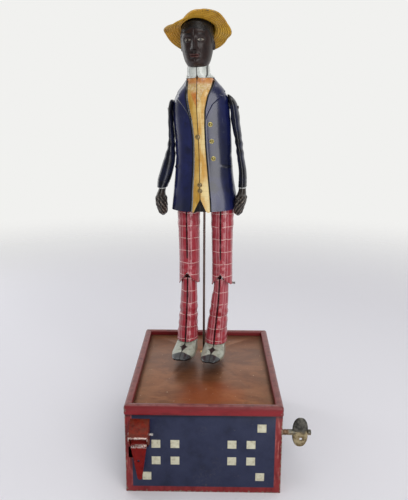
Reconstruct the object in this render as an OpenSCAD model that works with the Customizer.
// Clockwork dancing toy: a jointed tinplate dancer on a rod above a tin box that holds the clockwork.
// Millimetres. Origin at the centre of the box's underside, +Z up, front of the box at -Y, key on +X.
// "left" and "right" are the viewer's, looking at the front of the toy.

/* [Base box] */
// Width of the box body
base_w = 84; // [80:1:96]
// Length of the box body, front to back
base_l = 114.3; // [110:1:136]
// Height of the box to the top of the lid's rim
base_h = 51.3; // [50.8:0.1:53]
// Thickness of the box's tinplate
tin = 0.8; // [0.5:0.1:1.1]
// How far the lid stands out past the body on each side
lid_over = 0.5; // [0.5:0.1:1]
// Width of the lid's raised rim
rim_w = 4.2; // [3:0.1:6]
// Depth of the lid's outer flange
flange_h = 5.5; // [4.5:0.1:7]
// Depth of the dancing deck below the rim
deck_drop = 3; // [2.5:0.1:3.2]

/* [Clockwork] */
// Distance of the winding arbor in front of the box's middle
key_y = -36; // [-37:0.5:-34]
// Height of the winding arbor
key_z = 24.8; // [23.5:0.1:26]
// Radius of the winding arbor
arbor_r = 1.2; // [1:0.1:1.5]
// Radius of the train arbors
pivot_r = 0.8; // [0.7:0.05:1]
// Thickness of the frame plates
plate_t = 1; // [0.8:0.1:1.2]
// Near face of the inner frame plate
plate_x = 3; // [3:0.1:4]
// Clear distance between the frame plates
plate_gap = 23; // [22.5:0.1:25]
// Teeth on the great wheel
great_teeth = 48; // [48]
// Teeth on the second and third wheels
train_teeth = 32; // [32]
// Leaves on each pinion
pinion_leaves = 8; // [8]
// Module of the great wheel and its pinion
great_module = 0.7; // [0.68:0.01:0.72]
// Module of the other pairs
train_module = 0.625; // [0.6:0.005:0.64]
// Thickness of the wheels
wheel_t = 1.1; // [0.8:0.1:1.2]
// Turns of the mainspring
spring_turns = 8; // [5:1:10]
// Width of the mainspring's strip
spring_w = 9; // [7:0.5:10]
// Thickness of the mainspring's strip
spring_t = 0.5; // [0.4:0.05:0.6]
// Teeth on the ratchet wheel
ratchet_teeth = 12; // [12]
// Throw of the crank
crank_throw = 1.1; // [0.8:0.05:1.1]
// Radius of the crank pin
crank_pin_r = 0.6; // [0.5:0.05:0.7]
// Rocker's length from its stud to the crank's axis
rocker_in = 9; // [8.5:0.1:9.5]

/* [Rod] */
// Radius of the dancer's rod
rod_r = 0.75; // [0.65:0.05:0.9]
// Sideways place of the rod
rod_x = -1.2; // [-1.5:0.1:-0.8]
// Place of the rod behind the box's middle
rod_y = 24; // [23:0.5:26]

/* [Dancer] */
// Height of the hip wire at rest
hip_z = 150; // [148:0.5:152]
// Length from the hip wire to the knee pin
thigh_len = 51; // [48:0.5:52]
// Clearance of the soles over the deck at rest
foot_gap = 2.5; // [2.4:0.1:4]
// Distance of the shoulder wire above the hip wire
shoulder_rise = 54; // [53:0.5:55]
// Distance of each leg from the dancer's middle
leg_x = 10.6; // [10.4:0.1:11]
// Distance of the legs in front of the rod
leg_y = -8.5; // [-9:0.1:-8]
// Thickness of the dancer's tinplate
skin = 0.6; // [0.5:0.05:0.7]
// Radius of the hip and shoulder wires
wire_r = 0.7; // [0.6:0.05:0.8]
// Radius of the knee pins
knee_pin_r = 0.6; // [0.5:0.05:0.7]
// How far the dancer is turned to the viewer's left at rest
turn = 10; // [0:1:20]
// How far the dancer leans to the viewer's left at rest
lean = 1.8; // [0:0.1:2.5]
// Radius of the hat's brim
brim_r = 19.5; // [18:0.1:21]
// How far the hat is tipped back
hat_tip = 38; // [34:1:42]

/* [Stop lever] */
// Width of the lever's hood
hood_w = 10.3; // [9:0.1:11]
// How far the hood stands out from the front
hood_out = 11.8; // [11:0.1:13]
// Distance of the hood's middle left of the box's middle
hood_x = 33.8; // [33:0.1:34.5]
// Height of the hood's top at the wall
hood_z = 43.6; // [43:0.1:44.5]
// Length of the lever's tongue below its pin
tongue_len = 25.5; // [22:0.5:27]

/* [Fits] */
// Radial clearance of a shaft that turns in a bore
running = 0.05; // [0.03:0.01:0.08]
// Radial clearance of a piece fixed on a shaft
seat = 0.03; // [0.02:0.01:0.05]

/* [Hidden] */
$fn = 48;

// Colours, as the photograph shows them
red_paint = [0.50, 0.10, 0.11];
deck_brown = [0.52, 0.30, 0.20];
brass = [0.72, 0.58, 0.30];
steel = [0.55, 0.55, 0.56];
dark_steel = [0.24, 0.23, 0.22];
navy = [0.10, 0.13, 0.27];
trouser_red = [0.62, 0.16, 0.20];
straw = [0.80, 0.60, 0.16];

// Box
lid_w = base_w + 2 * lid_over;
lid_l = base_l + 2 * lid_over;
lid_t = tin;
flange_t = lid_over - 0.1;
deck_z = base_h - deck_drop;
deck_gap = 0.3;
front_y = -base_l / 2;
eps = 0.02;

// Frame plates and the train's layers along X
plate_in = plate_x + plate_t;
plate_out = plate_in + plate_gap;
great_x = plate_in + 2;
ratchet_x = great_x + wheel_t + 0.4;
ratchet_t = 1;
spring_x = ratchet_x + ratchet_t + 1.4;
second_x = plate_out - 4.6;
third_x = plate_out - 2.2;
plate_lo_y = -54;
plate_hi_y = 11;
plate_top = 45;
tab_w = 6;
tab_ys = [plate_lo_y + 8, plate_hi_y - 12];

// Arbors: each lies at the pair's centre distance from the one before, in a set direction
great_centre = (great_teeth + pinion_leaves) * great_module / 2;
train_centre = (train_teeth + pinion_leaves) * train_module / 2;
line_1 = 30;
line_2 = -70;
line_3 = 20;
great_at = [key_y, key_z];
second_at = great_at + great_centre * [cos(line_1), sin(line_1)];
third_at = second_at + train_centre * [cos(line_2), sin(line_2)];
crank_at = third_at + train_centre * [cos(line_3), sin(line_3)];

// Tooth forms: share of the pitch taken at the root, pitch circle and tip, and heights in modules
wheel_form = [[-1.05, 0.50], [0, 0.42], [0.75, 0.18]];
pinion_form = [[-1.15, 0.30], [0, 0.34], [0.55, 0.20]];

// Ratchet and click
ratchet_r = 6.5;
ratchet_root = 5;
click_tip = [5.3, 0];
click_at = [8.13, -8.13];
click_t = ratchet_t;
click_turn = 360 / ratchet_teeth - 2;
rivet_r = 0.9;

// Mainspring and its post
spring_in = arbor_r + 1.6;
spring_out = 14;
post_turn = -100;
post_dist = 19.6;
post_r = 1.2;
pillar_r = 1.6;
pillar_ats = [[plate_lo_y + 3, 8], [plate_lo_y + 3, 41.5], [plate_hi_y - 3, 8], [plate_hi_y - 3, 41.5]];

// Crank, rocker and rod. The crank pin's eye is wide, so that the pin stays clear at every angle.
crank_disc_r = 5;
crank_disc_t = 1;
rocker_t = 1;
rocker_x = rod_x - rocker_t / 2;
crank_disc_x = rocker_x + rocker_t + 1;
rocker_eye_r = crank_throw * sqrt(2) + crank_pin_r + 0.35;
rocker_y = crank_at[0] + rocker_in;
rocker_out = rod_y - rocker_y;
stud_r = 1;
fork_t = 1;
fork_gap = 0.6;
collar_h = 2;
collar_r = 2.4;
bush_r = 2.2;
bush_h = 4.2;
guide_top = 15.5;
guide_t = 1;
guide_w = 8;
rod_foot = 11;

// Dancer
knee_z = hip_z - thigh_len;
sole_z = deck_z + foot_gap;
rod_top = hip_z + shoulder_rise - 6;
socket_r = 1.9;
shoulder_z = hip_z + shoulder_rise;
shoulder_y = -8;
around = 10;

// Levels of the coat and head: height above the hip wire, middle's place from the rod, half width, half depth
body_rows = [[-6, -8, 20.2, 14.5], [0, -8, 19.6, 13.8], [8, -8, 18.6, 12.6], [18, -8, 17.4, 11.4],
    [28, -8, 16.9, 11.0], [38, -8, 17.1, 11.4], [48, -8, 17.0, 11.4], [55, -8, 16.2, 10.6],
    [60, -8, 14.8, 9.6], [64.5, -7.8, 11.8, 8.2], [68, -7.5, 8.4, 6.8], [71.5, -7.3, 6.3, 6.0],
    [76, -7.3, 6.1, 5.9], [79.5, -8.4, 7.0, 8.0], [84, -8.5, 8.5, 9.5], [90.5, -8.6, 9.4, 10.2],
    [96, -8.6, 9.2, 9.9], [100, -8.9, 8.2, 8.8], [103.5, -9.3, 6.2, 6.8], [105.4, -9.6, 3.2, 3.6]];
// Levels of an arm: height from the shoulder wire, places sideways and from the rod, half width, half depth
arm_rows = [[-62.5, 23.6, -11, 1.6, 2.8], [-59.5, 23.8, -11.2, 2.6, 4.3], [-55, 24.2, -11.2, 2.9, 4.8],
    [-50, 24.6, -10.8, 2.6, 4.2], [-46.8, 24.9, -10.3, 2.2, 3.4], [-45.6, 25.0, -10.3, 3.0, 4.5],
    [-38, 24.2, -9.5, 2.8, 4.3], [-29, 22.8, -8.8, 2.8, 4.3], [-19, 21.4, -8.3, 2.8, 4.4],
    [-9, 20.2, -8, 2.9, 4.7], [-1, 19.4, -8, 2.9, 4.9], [3.5, 19.2, -8, 2.7, 4.2], [5.5, 19.2, -8, 1.8, 2.6]];
// Levels of a thigh: height above the knee pin, half width, half depth
thigh_rows = [[-1.8, 6.5, 6.6], [2, 6.6, 6.7], [16, 6.8, 6.8], [31, 6.9, 6.8], [43, 6.9, 6.6],
    [thigh_len, 6.6, 6.2], [thigh_len + 5, 5.8, 5.4]];
// Levels of a shoe: height above the sole, places sideways and ahead of the leg, half width, half depth
shoe_rows = [[0, -0.6, -4, 3.6, 10.4], [1.5, -0.6, -5.6, 5.1, 12.9], [4, -0.6, -7.4, 5.7, 16.8],
    [6.4, -0.5, -6.5, 5.6, 15.4], [8.2, -0.3, -4, 5.2, 11.8], [9.2, -0.2, -2, 5.0, 9.0]];
// Levels of a trouser leg below the knee: depth below the knee pin, half width, half depth
shin_rows = [[-37.8, 6.0, 7.3], [-33, 5.7, 7.0], [-24, 5.2, 6.3], [-11, 4.7, 5.4], [0, 4.4, 5.0], [3, 4.2, 4.6]];

// Cuts at the knee: the notch that shows in front and the taller one behind
knee_notch = [[-4.8, -4], [-4.8, -0.4], [0, 5], [4.8, -0.4], [4.8, -4]];
knee_back = [[-4.8, -4], [-4.8, 3.5], [-2.5, 6.2], [2.5, 6.2], [4.8, 3.5], [4.8, -4]];

// Hat: its profile from the opening outwards, over the brim, up the crown and back inside
hat_skin = 0.8;
hat_open = 10.8;
crown_h = 8.4;
crown_r = 9.5;
hat_profile = [[hat_open, 0], [brim_r - 1, -0.6], [brim_r, -0.2], [brim_r - 0.4, 0.5], [hat_open + 1, hat_skin],
    [crown_r + 0.6, crown_h], [crown_r - 1.5, crown_h + 1], [0, crown_h + 1.3], [0, crown_h + 0.5],
    [crown_r - 1.7, crown_h + 0.2], [crown_r - 0.2, crown_h - 0.5]];
hat_rise = 98.3;
hat_gap = 0.3;
hat_y = -6.1;

// Stop lever and its hood
hood_t = 0.6;
lever_t = 0.7;
lever_pin_r = 0.6;
lever_play = 0.5;
lever_pin_at = [front_y - 3.2, hood_z - 7.4];
barrel_r = 1.3;
tongue_top_w = hood_w - 2 * hood_t - 2 * lever_play;
slot_lo = 20.5;
slot_mid = 27;
slot_hi = hood_z - 5.6;
slot_w = 8.6;
lug = [4, 4, 2.6];
wire_from = [-hood_x - 1, lever_pin_at[0] + 8.3, lever_pin_at[1] - 1.9];
brake_r = 0.5;
brake_gap = 0.3;
wire_to = [crank_disc_x + crank_disc_t / 2, crank_at[0], crank_at[1] + crank_disc_r + brake_gap + brake_r];

// Key
key_x = lid_w / 2 + 2;
bow_x = key_x + 10.2;
bow_w = 9.1;
bow_h = 17.9;
bow_t = 1.2;
key_hole_r = 0.85;
key_hole_drop = 4.2;
sleeve_r = arbor_r + 0.5;

// Offset of a thick strip's side at point i of the path p
function side_dir(p, i) =
    let(a = p[max(0, i - 1)], b = p[min(len(p) - 1, i + 1)], d = b - a, l = norm(d)) [-d[1], d[0]] / l;
// Outline of a strip of thickness t along the path p
function strip(p, t) = concat([for (i = [0:len(p) - 1]) p[i] + side_dir(p, i) * t / 2],
    [for (i = [len(p) - 1:-1:0]) p[i] - side_dir(p, i) * t / 2]);
function polar(r, a) = [r * cos(a), r * sin(a)];
// Outline of a toothed wheel: its tooth form is mirrored about each tooth's middle
function gear_outline(teeth, mod, form) = [for (i = [0:teeth - 1], s = [-1, 1], j = [0:2])
    let(f = form[s < 0 ? j : 2 - j]) polar(teeth * mod / 2 + f[0] * mod, (i + s * f[1] / 2) * 360 / teeth)];

// Stands a flat YZ outline up and gives it a thickness along X
module slab(x, t) translate([x, 0, 0]) rotate([90, 0, 90]) linear_extrude(height = t) children();
// A shaft along X
module shaft(x, at, r, h) translate([x, at[0], at[1]]) rotate([0, 90, 0]) cylinder(r = r, h = h);
// A straight wire between two points
module wire(a, b, r) {
    d = b - a;
    translate(a) rotate([0, acos(d[2] / norm(d)), atan2(d[1], d[0])]) cylinder(r = r, h = norm(d));
}
module toothed(x, at, turned, teeth, mod, form, t, bore) difference() {
    slab(x, t) translate(at) rotate(turned) polygon(gear_outline(teeth, mod, form));
    shaft(x - 1, at, bore, t + 2);
}

// Half of a pressed tube. Each row is height, middle x, middle y, half width, half depth; the ring's points run
// from the front seam round one side (side = 1 or -1) to the back seam, outside first and then inside.
function ring(row, side, less) = [for (k = [0:around]) let(a = -90 + 180 * k / around)
    [row[1] + side * (row[3] - less) * cos(a), row[2] + (row[4] - less) * sin(a), row[0]]];
function lift(row, up) = [row[0] + up, row[1], row[2], row[3], row[4]];
module half_shell(rows, side, closed_low, closed_high) {
    top = len(rows) - 1;
    n = around + 1;
    inner = [for (j = [0:top]) lift(rows[j], j == 0 && closed_low ? skin : j == top && closed_high ? -skin : 0)];
    points = concat([for (r = rows) each ring(r, side, 0)], [for (r = inner) each ring(r, side, skin)]);
    off = n * (top + 1);
    walls = [for (j = [0:top - 1], k = [0:around - 1], q = [0, 1])
        let(a = j * n + k, b = a + 1, c = b + n, d = a + n) q == 0 ? [[a, c, b], [a, d, c]]
            : [[off + a, off + b, off + c], [off + a, off + c, off + d]]];
    seams = [for (j = [0:top - 1], k = [0, around]) let(a = j * n + k, d = a + n)
        k == 0 ? [[a, off + a, d], [off + a, off + d, d]] : [[a, d, off + a], [off + a, d, off + d]]];
    low = closed_low ? [[[for (k = [0:around]) k]], [[for (k = [around:-1:0]) off + k]],
        [[around, 0, off, off + around]]] : [for (k = [0:around - 1]) [[k, k + 1, off + k + 1, off + k]]];
    t = top * n;
    high = closed_high ? [[[for (k = [around:-1:0]) t + k]], [[for (k = [0:around]) off + t + k]],
        [[t, t + around, off + t + around, off + t]]]
        : [for (k = [0:around - 1]) [[t + k + 1, t + k, off + t + k, off + t + k + 1]]];
    faces = [for (group = concat(walls, seams, low, high), f = group) f];
    turned = side > 0 ? faces : [for (f = faces) [for (i = [len(f) - 1:-1:0]) f[i]]];
    polyhedron(points = points, faces = [for (f = turned) [for (i = [len(f) - 1:-1:0]) f[i]]]);
}

// The dancer's places: on the rod and turned, and the same leaned about the hip wire
module on_rod() translate([rod_x, rod_y, 0]) rotate([0, 0, -turn]) children();
module leaned() translate([rod_x, rod_y, hip_z]) rotate([0, -lean, 0]) rotate([0, 0, -turn])
    translate([0, 0, -hip_z]) children();
module on_side(s) {
    if (s < 0) mirror([1, 0, 0]) children();
    else children();
}
module hip_shaft(r, half) on_rod() shaft(-half, [leg_y, hip_z], r, 2 * half);
module shoulder_shaft(r, half) leaned() shaft(-half, [shoulder_y, shoulder_z], r, 2 * half);
module knee_shaft(s, r, half) on_rod() shaft(s * leg_x - half, [leg_y, knee_z], r, 2 * half);

module block(lo, hi) translate(lo) cube(hi - lo);

// Box
module base_case() color(red_paint) difference() {
    top = base_h - lid_t - 0.2;
    block([-base_w / 2, front_y, 0], [base_w / 2, -front_y, top]);
    block([-base_w / 2 + tin, front_y + tin, -1], [base_w / 2 - tin, -front_y - tin, top + 1]);
    block([-hood_x - slot_w / 2, front_y - 1, slot_mid], [-hood_x + slot_w / 2, front_y + tin + 1, slot_hi]);
    block([-hood_x - 6.5, front_y - 1, slot_lo], [-hood_x + 0.5, front_y + tin + 1, slot_mid + eps]);
    shaft(base_w / 2 - tin - 1, great_at, sleeve_r + 0.3, tin + 2);
}
module base_bottom() color(steel) difference() {
    block([-base_w / 2 + tin, front_y + tin, 0], [base_w / 2 - tin, -front_y - tin, tin]);
    for (x = [plate_x, plate_out], y = tab_ys)
        block([x - 0.1, y - tab_w / 2 - 0.1, -1], [x + plate_t + 0.1, y + tab_w / 2 + 0.1, tin + 1]);
}
module lid_frame() color(red_paint) difference() {
    low = base_h - flange_h;
    block([-lid_w / 2, -lid_l / 2, low], [lid_w / 2, lid_l / 2, base_h]);
    block([-lid_w / 2 + rim_w, -lid_l / 2 + rim_w, low - 1], [lid_w / 2 - rim_w, lid_l / 2 - rim_w, base_h + 1]);
    difference() {
        block([-lid_w / 2 + flange_t, -lid_l / 2 + flange_t, low - 1],
            [lid_w / 2 - flange_t, lid_l / 2 - flange_t, base_h - lid_t]);
        block([-lid_w / 2 + rim_w - tin, -lid_l / 2 + rim_w - tin, deck_z],
            [lid_w / 2 - rim_w + tin, lid_l / 2 - rim_w + tin, base_h]);
    }
}
module deck_plate() color(deck_brown) difference() {
    x = base_w / 2 - tin - deck_gap;
    y = -front_y - tin - deck_gap;
    block([-x, -y, deck_z - tin], [x, y, deck_z]);
    translate([rod_x, rod_y, deck_z - tin - 1]) cylinder(r = bush_r + seat, h = tin + 2);
}
module deck_bush() color(brass) translate([rod_x, rod_y, 0]) difference() {
    union() {
        translate([0, 0, deck_z - bush_h]) cylinder(r = bush_r, h = bush_h);
        translate([0, 0, deck_z - tin - 1]) cylinder(r = bush_r + 1.2, h = 1);
    }
    translate([0, 0, deck_z - bush_h - 1]) cylinder(r = rod_r + running, h = bush_h + 2);
}

// Stop lever
module lever_hood() color(red_paint) difference() {
    drop = 5;
    front = front_y - hood_out;
    union() {
        for (x = [-hood_x - hood_w / 2, -hood_x + hood_w / 2 - hood_t]) slab(x, hood_t)
            polygon([[front_y, hood_z], [front, hood_z - drop], [front, hood_z - drop - 1.2],
                [front + 4, hood_z - drop - 6], [front_y, hood_z - 15.2]]);
        slab(-hood_x - hood_w / 2, hood_w) polygon([[front_y, hood_z], [front, hood_z - drop],
            [front, hood_z - drop - hood_t], [front_y, hood_z - hood_t]]);
    }
    shaft(-hood_x - hood_w, lever_pin_at, lever_pin_r + seat, 2 * hood_w);
}
module lever_pin() color(steel) {
    shaft(-hood_x - hood_w / 2 - 0.8, lever_pin_at, lever_pin_r, hood_w + 2.8);
    shaft(-hood_x - hood_w / 2 - 0.9, lever_pin_at, lever_pin_r + 0.4, 0.6);
}
module stop_lever() color(red_paint) difference() {
    p = lever_pin_at;
    ridge = p + [-4.6, -4.4];
    tip = p + [-1.9, -tongue_len];
    union() {
        intersection() {
            slab(-hood_x - hood_w / 2, hood_w)
                polygon(strip([p + [-0.8, -0.4], p + [-2.6, -1.6], ridge, ridge + [0.2, -1.2], tip], lever_t));
            translate([-hood_x, 0, 0]) rotate([90, 0, 0]) linear_extrude(height = 2 * base_l) polygon([
                [-tongue_top_w / 2, p[1] + 2], [tongue_top_w / 2, p[1] + 2], [tongue_top_w / 2, ridge[1] - 1],
                [1.2, tip[1] + 0.8], [0.5, tip[1]], [-0.5, tip[1]], [-1.2, tip[1] + 0.8],
                [-tongue_top_w / 2, ridge[1] - 1]]);
        }
        shaft(-hood_x - tongue_top_w / 2, p, barrel_r, tongue_top_w);
        slab(-hood_x - 2, lug[0] - 1) polygon(strip([p + [0.8, -0.5], p + [4, -1.8], p + [7, -1.9]], lever_t));
        translate([wire_from[0] - lug[0] / 2, wire_from[1] - lug[1] / 2, wire_from[2] - lug[2] / 2]) cube(lug);
    }
    shaft(-hood_x - hood_w, p, lever_pin_r + running, 2 * hood_w);
    translate([-hood_x - 0.4, 0, p[1] - 13.5]) rotate([90, 0, 0]) cylinder(r = 0.7, h = base_l);
    wire(wire_from - (wire_to - wire_from) * 0.2, wire_to, brake_r + seat);
}
module brake_wire() color(steel) {
    start = wire_from - (wire_to - wire_from) * 0.04;
    wire(start, wire_to, brake_r);
}

// Frame of the clockwork
module frame_plate(x) color(brass) difference() {
    slab(x, plate_t) difference() {
        polygon([[plate_lo_y, tin], [plate_hi_y, tin], [plate_hi_y, plate_top], [plate_lo_y, plate_top]]);
        translate([-47, 45]) circle(r = 3);
    }
    for (at = [second_at, third_at, crank_at]) shaft(x - 1, at, pivot_r + running, plate_t + 2);
    shaft(x - 1, great_at, arbor_r + running, plate_t + 2);
}
module plate_tabs(x) color(brass) for (y = tab_ys)
    block([x, y - tab_w / 2, 0.1], [x + plate_t, y + tab_w / 2, tin + eps]);
module inner_plate() {
    difference() {
        union() {
            frame_plate(plate_x);
            plate_tabs(plate_x);
        }
        shaft(plate_x - 1, [rocker_y, crank_at[1]], stud_r + seat, plate_t + 2);
    }
}
module outer_plate() {
    frame_plate(plate_out);
    plate_tabs(plate_out);
}
module frame_pillars() color(steel) for (at = pillar_ats) shaft(plate_in, at, pillar_r, plate_gap);
module spring_post() color(steel) shaft(plate_in, great_at + polar(post_dist, post_turn), post_r, plate_gap);

// Mainspring: an even spiral whose last part runs out to the post
module mainspring() color(dark_steel) {
    steps = 18;
    last = spring_turns * steps;
    ease = steps * 0.4;
    reach = post_dist - post_r - spring_t / 2 - 0.1;
    path = [for (i = [0:last]) let(out = max(0, (i - last + ease) / ease))
        great_at + polar(spring_in + (spring_out - spring_in) * i / last + (reach - spring_out) * out * out,
            post_turn + (i - last) * 360 / steps)];
    slab(spring_x, spring_w) polygon(strip(path, spring_t));
}

// Winding
module winding_arbor() color(steel) shaft(plate_x - 1, great_at, arbor_r, key_x + 4 - plate_x + 1);
module winding_key() color(dark_steel) difference() {
    union() {
        shaft(key_x, great_at, sleeve_r, bow_x - key_x - 3);
        shaft(key_x + 4, great_at, arbor_r, bow_x + bow_w / 2 + 1.6 - key_x - 4);
        translate([bow_x, key_y, key_z]) rotate([90, 0, 0]) translate([0, 0, -bow_t / 2])
            linear_extrude(height = bow_t) {
                reach = (bow_h - bow_w) / 2;
                for (s = [-1, 1]) translate([0, s * reach]) circle(d = bow_w);
                square([bow_w - 0.4, 2 * reach], center = true);
            }
        shaft(bow_x + bow_w / 2, great_at, sleeve_r, 1.6);
    }
    shaft(key_x - 1, great_at, arbor_r + seat, 5.1);
    translate([bow_x + 0.5, key_y, key_z - key_hole_drop]) rotate([90, 0, 0])
        cylinder(r = key_hole_r, h = 4 * bow_t, center = true);
}
module ratchet_wheel() color(steel) difference() {
    pitch = 360 / ratchet_teeth;
    slab(ratchet_x, ratchet_t) translate(great_at) polygon([for (i = [0:ratchet_teeth - 1], q = [0, 1])
        q == 0 ? polar(ratchet_r, i * pitch) : polar(ratchet_root, (i + 1) * pitch - 1)]);
    shaft(ratchet_x - 1, great_at, arbor_r + seat, ratchet_t + 2);
}
module great_wheel() color(brass) difference() {
    toothed(great_x, great_at, line_1, great_teeth, great_module, wheel_form, wheel_t, arbor_r + running);
    shaft(great_x - 1, great_at + turned_about(click_at), rivet_r + seat, wheel_t + 2);
}
function turned_about(p) = let(c = cos(click_turn), s = sin(click_turn)) [c * p[0] - s * p[1], s * p[0] + c * p[1]];
module click() color(steel) difference() {
    away = click_at - click_tip;
    n = [-away[1], away[0]] / norm(away) * 1.2;
    at = great_at + turned_about(click_at);
    union() {
        slab(ratchet_x, click_t) translate(great_at) rotate(click_turn)
            polygon([click_tip, click_at + n, click_at - n]);
        shaft(ratchet_x, at, 1.7, click_t);
    }
    shaft(ratchet_x - 1, at, rivet_r + running, click_t + 2);
}
module click_rivet() color(brass) {
    at = great_at + turned_about(click_at);
    shaft(great_x, at, rivet_r, click_t + wheel_t + 0.6);
    shaft(ratchet_x + click_t + 0.15, at, rivet_r + 0.6, 0.5);
}
module click_spring() color(steel) union() {
    bend = click_at + [5.2, 4.2];
    foot = bend + [-3.6, 5];
    slab(great_x + wheel_t, 1) translate(great_at) rotate(click_turn)
        polygon(strip([foot, bend, click_at + [3.0, -0.2]], 0.4));
    shaft(great_x + wheel_t, great_at + turned_about(foot), 1, 1);
}

// Train: each pinion is cut on its arbor
module pinion_arbor(at, line, mod, leaves_x, leaves_w, from, to) {
    shaft(from, at, pivot_r, to - from);
    slab(leaves_x, leaves_w) translate(at) rotate(line + 180 + 180 / pinion_leaves)
        polygon(gear_outline(pinion_leaves, mod, pinion_form));
}
module second_arbor() color(steel)
    pinion_arbor(second_at, line_1, great_module, great_x - 0.6, wheel_t + 1.2, plate_x, plate_out + plate_t);
module second_wheel() color(brass)
    toothed(second_x, second_at, line_2, train_teeth, train_module, wheel_form, wheel_t, pivot_r + seat);
module third_arbor() color(steel)
    pinion_arbor(third_at, line_2, train_module, second_x - 0.4, wheel_t + 0.8, plate_x, plate_out + plate_t);
module third_wheel() color(brass)
    toothed(third_x, third_at, line_3, train_teeth, train_module, wheel_form, wheel_t, pivot_r + seat);
module crank_arbor() color(steel) pinion_arbor(crank_at, line_3, train_module, third_x - 0.3, wheel_t + 0.6,
    crank_disc_x + crank_disc_t, plate_out + plate_t);
module crank_disc() color(brass) difference() {
    shaft(crank_disc_x, crank_at, crank_disc_r, crank_disc_t);
    shaft(crank_disc_x - 1, crank_at + [crank_throw, 0], crank_pin_r + seat, crank_disc_t + 2);
}
module crank_pin() color(steel)
    shaft(rocker_x - 0.5, crank_at + [crank_throw, 0], crank_pin_r, crank_disc_x + crank_disc_t - rocker_x + 0.5);

// Rocker: an upright arm from the crank to a level fork that holds the rod between two collars
module rocker() color(steel) difference() {
    z = crank_at[1];
    union() {
        slab(rocker_x, rocker_t) {
            translate([crank_at[0], z]) circle(r = rocker_eye_r + 1.5);
            translate([rocker_y, z]) circle(r = 3);
            translate([crank_at[0], z - 1.6]) square([rod_y - 3.4 - crank_at[0], 3.2]);
        }
        block([rod_x - 3, rod_y - 4.6, z - fork_t / 2], [rod_x + 3, rod_y + 3.4, z + fork_t / 2]);
    }
    shaft(rocker_x - 1, [crank_at[0], z], rocker_eye_r, rocker_t + 2);
    shaft(rocker_x - 1, [rocker_y, z], stud_r + running, rocker_t + 2);
    block([rod_x - rod_r - 0.4, rod_y - rod_r - 0.6, z - 1], [rod_x + rod_r + 0.4, rod_y + 5, z + 1]);
}
module rocker_stud() color(brass) {
    at = [rocker_y, crank_at[1]];
    shaft(rocker_x - 0.7, at, stud_r, plate_in - rocker_x + 0.7);
    shaft(rocker_x + rocker_t + 0.2, at, stud_r + 0.9, plate_x - rocker_x - rocker_t - 0.2);
    shaft(rocker_x - 0.7, at, stud_r + 0.8, 0.5);
}
module rod_guide() color(steel) difference() {
    union() {
        block([rod_x - guide_w / 2, rod_y + 6, tin], [rod_x + guide_w / 2, rod_y + 6 + guide_t, guide_top]);
        block([rod_x - guide_w / 2, rod_y - 3, guide_top - guide_t], [rod_x + guide_w / 2, rod_y + 7, guide_top]);
        block([rod_x - guide_w / 2, rod_y + 6, tin], [rod_x + guide_w / 2, rod_y + 15, tin + guide_t]);
    }
    translate([rod_x, rod_y, guide_top - guide_t - 1]) cylinder(r = rod_r + running, h = guide_t + 2);
}
module dancer_rod() color(dark_steel) translate([rod_x, rod_y, rod_foot]) cylinder(r = rod_r, h = rod_top - rod_foot);
module rod_collars() color(brass) for (s = [-1, 1])
    translate([rod_x, rod_y, crank_at[1] + s * (fork_t / 2 + fork_gap + collar_h / 2)]) difference() {
        cylinder(r = collar_r, h = collar_h, center = true);
        cylinder(r = rod_r + seat, h = collar_h + 1, center = true);
    }

// Dancer
module rod_socket() color(brass) difference() {
    on_rod() {
        translate([0, 0, hip_z - 3]) cylinder(r = socket_r, h = rod_top + 1.3 - hip_z + 3);
        block([-2, leg_y - 2.4, hip_z - 2.4], [2, -1, hip_z + 2.4]);
        block([-2, shoulder_y - 2.4, shoulder_z - 8.4], [2, -1, shoulder_z + 2.6]);
    }
    on_rod() translate([0, 0, hip_z - 4]) cylinder(r = rod_r + running, h = rod_top + 0.3 - hip_z + 4);
    hip_shaft(wire_r + seat, 5);
    shoulder_shaft(wire_r + seat, 5);
}
module body_half(side) color(navy) difference() {
    leaned() half_shell([for (r = body_rows) [hip_z + r[0], 0, r[1], r[2], r[3]]], side, false, true);
    hat_room();
    hip_shaft(wire_r + seat, 25);
    shoulder_shaft(wire_r + seat, 25);
}
module body_left() body_half(-1);
module body_right() body_half(1);
module in_hat() leaned() translate([0, hat_y, hip_z + hat_rise]) rotate([-hat_tip, 0, 0]) rotate_extrude($fn = 64)
    children();
module hat() color(straw) in_hat() polygon(hat_profile);
// All that lies outside the hat's inner face: the head is trimmed to it, so the hat sits down over the crown
module hat_room() in_hat() polygon([[hat_open - hat_gap, -hat_gap], [brim_r + 2, -0.6 - 2 * hat_gap],
    [brim_r + 2, 20], [0, 20], [0, crown_h + 0.5 - hat_gap], [crown_r - 1.8, crown_h + 0.2 - hat_gap],
    [crown_r - 0.3 - hat_gap, crown_h - 0.6 - hat_gap]]);
module hip_wire() color(steel) hip_shaft(wire_r, 20.6);
module shoulder_wire() color(steel) {
    shoulder_shaft(wire_r, 23);
    for (s = [-1, 1]) leaned() on_side(s) shaft(22.7, [shoulder_y, shoulder_z], wire_r + 0.5, 0.6);
}
module arm_half(s, side) color(navy) difference() {
    leaned() on_side(s) half_shell([for (r = arm_rows) [shoulder_z + r[0], r[1], r[2], r[3], r[4]]], side, true, true);
    shoulder_shaft(wire_r + running, 30);
}
module arm_left_outer() arm_half(-1, 1);
module arm_left_inner() arm_half(-1, -1);
module arm_right_outer() arm_half(1, 1);
module arm_right_inner() arm_half(1, -1);
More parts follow.
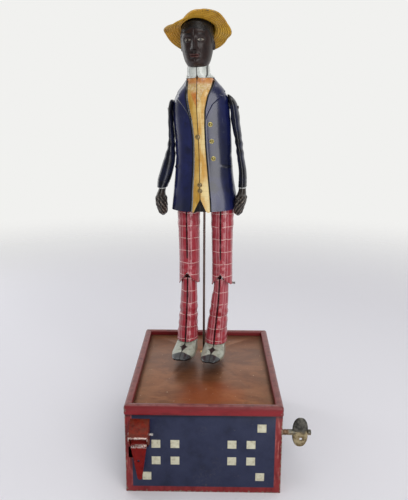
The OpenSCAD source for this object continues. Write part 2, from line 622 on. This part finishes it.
module knee_cut(s, outline, from, to) on_rod() translate([s * leg_x, leg_y, knee_z]) rotate([90, 0, 0])
    translate([0, 0, from]) linear_extrude(height = to - from) polygon(outline);
module thigh_half(s, side) color(trouser_red) difference() {
    on_rod() on_side(s) half_shell([for (r = thigh_rows) [knee_z + r[0], leg_x, leg_y, r[1], r[2]]], side, false, false);
    knee_cut(s, knee_notch, 0, 12);
    knee_cut(s, knee_back, -12, 0);
    hip_shaft(wire_r + running, 25);
    knee_shaft(s, knee_pin_r + seat, 12);
}
module thigh_left_outer() thigh_half(-1, 1);
module thigh_left_inner() thigh_half(-1, -1);
module thigh_right_outer() thigh_half(1, 1);
module thigh_right_inner() thigh_half(1, -1);
module knee_pin_left() color(steel) knee_shaft(-1, knee_pin_r, 7.2);
module knee_pin_right() color(steel) knee_shaft(1, knee_pin_r, 7.2);
module shin_half(s, side) color(trouser_red) difference() {
    on_rod() on_side(s) half_shell(concat(
        [for (r = shoe_rows) [sole_z + r[0], leg_x + r[1], leg_y + r[2], r[3], r[4]]],
        [for (r = shin_rows) [knee_z + r[0], leg_x, leg_y, r[1], r[2]]]), side, true, false);
    knee_shaft(s, knee_pin_r + running, 12);
}
module shin_left_outer() shin_half(-1, 1);
module shin_left_inner() shin_half(-1, -1);
module shin_right_outer() shin_half(1, 1);
module shin_right_inner() shin_half(1, -1);

base_case();
base_bottom();
lid_frame();
deck_plate();
deck_bush();
lever_hood();
lever_pin();
stop_lever();
brake_wire();
inner_plate();
outer_plate();
frame_pillars();
spring_post();
mainspring();
winding_arbor();
winding_key();
ratchet_wheel();
great_wheel();
click();
click_rivet();
click_spring();
second_arbor();
second_wheel();
third_arbor();
third_wheel();
crank_arbor();
crank_disc();
crank_pin();
rocker();
rocker_stud();
rod_guide();
dancer_rod();
rod_collars();
rod_socket();
body_left();
body_right();
hat();
hip_wire();
shoulder_wire();
arm_left_outer();
arm_left_inner();
arm_right_outer();
arm_right_inner();
thigh_left_outer();
thigh_left_inner();
thigh_right_outer();
thigh_right_inner();
knee_pin_left();
knee_pin_right();
shin_left_outer();
shin_left_inner();
shin_right_outer();
shin_right_inner();
